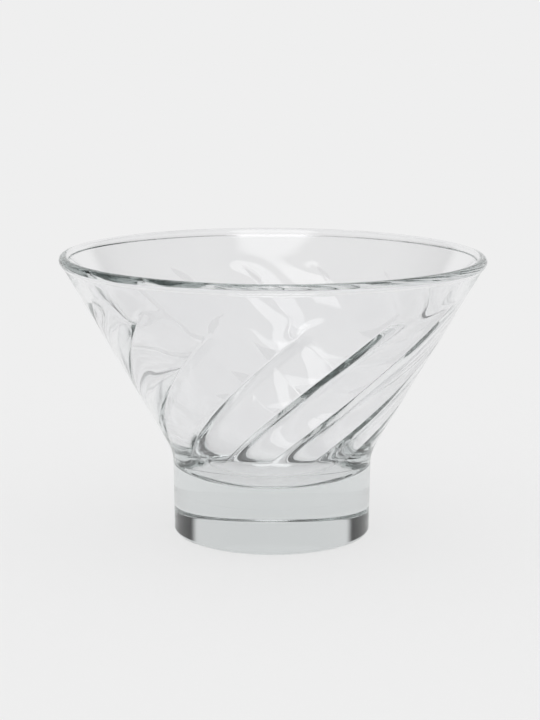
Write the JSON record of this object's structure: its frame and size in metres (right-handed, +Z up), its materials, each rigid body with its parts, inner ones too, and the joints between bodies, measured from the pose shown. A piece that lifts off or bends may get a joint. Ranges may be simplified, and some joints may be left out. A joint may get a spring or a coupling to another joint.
{
  "type": "dessert glass",
  "caption": "Wide flared dessert glass in clear pressed glass, with swirled flutes round the bowl, a beaded rim and a solid round foot.",
  "frame": {"origin": "middle of the underside, on the surface that the glass stands on", "axes": "+Z up the axis of the glass, towards the rim; the flutes climb anticlockwise seen from above"},
  "size_m": [0.12, 0.12, 0.08],
  "materials": {
    "bowl_glass": "clear soda-lime glass, pressed and fire-polished, faint green-grey in the thick rim",
    "foot_glass": "clear soda-lime glass, solid, smooth sides and a flat underside"
  },
  "bodies": {
    "root": {"bowl": "bowl_glass", "foot": "foot_glass"}
  },
  "joints": []
}
